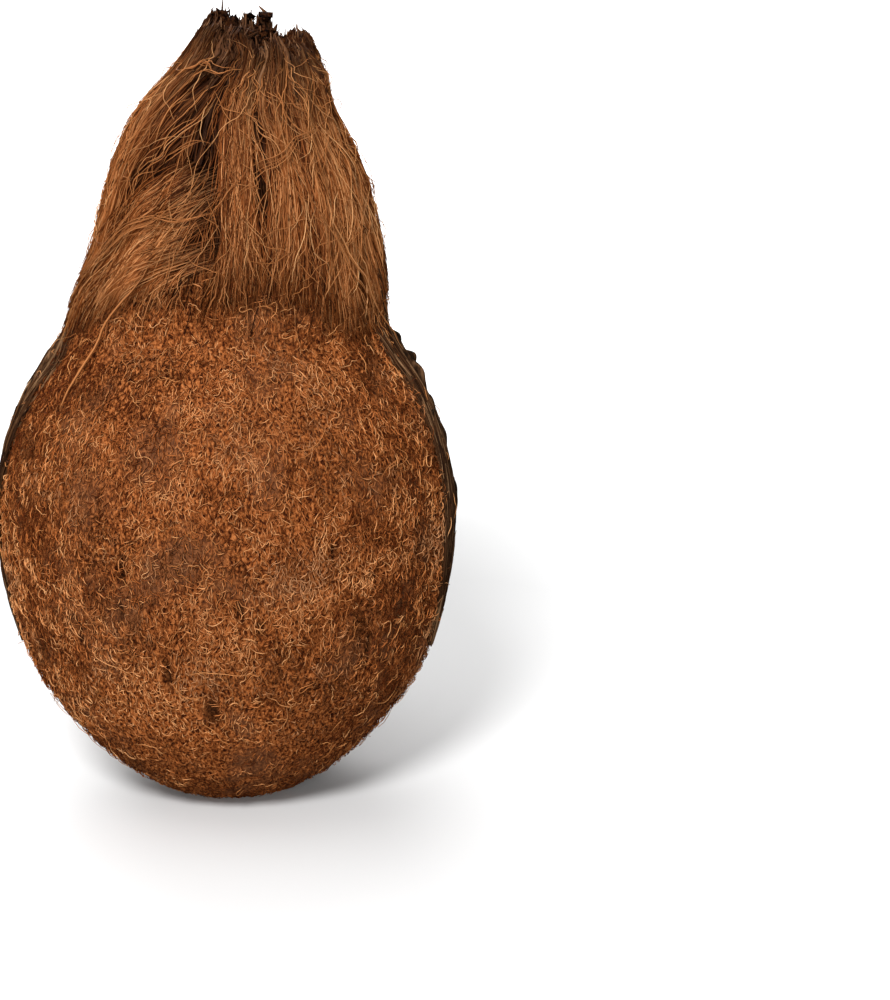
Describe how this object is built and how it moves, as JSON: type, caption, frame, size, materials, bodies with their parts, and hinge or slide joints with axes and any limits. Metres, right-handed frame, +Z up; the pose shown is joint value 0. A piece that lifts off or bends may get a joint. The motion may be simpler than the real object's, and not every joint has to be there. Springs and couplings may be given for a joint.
{
  "type": "husked coconut with a fibre tuft",
  "caption": "Brown husked coconut standing upright on a small flat spot, with a tuft of husk fibre drawn up over its stem end.",
  "frame": {"origin": "centre of the small flat spot the nut stands on, on the supporting surface", "axes": "+Z up through the tuft's crown, -Y towards the front, +X to the right as seen from the front"},
  "size_m": [0.1118, 0.1117, 0.1959],
  "materials": {
    "husk_mat": "dry matted husk fibre, orange brown, with dark pits and no shine",
    "tuft_fibre": "long dry husk fibres, tan to dark brown, faintly glossy along each strand",
    "husk_skin": "dry dark grey-brown strips of husk skin, dull"
  },
  "bodies": {
    "root": {"coconut": "husk_mat"}
  },
  "joints": []
}
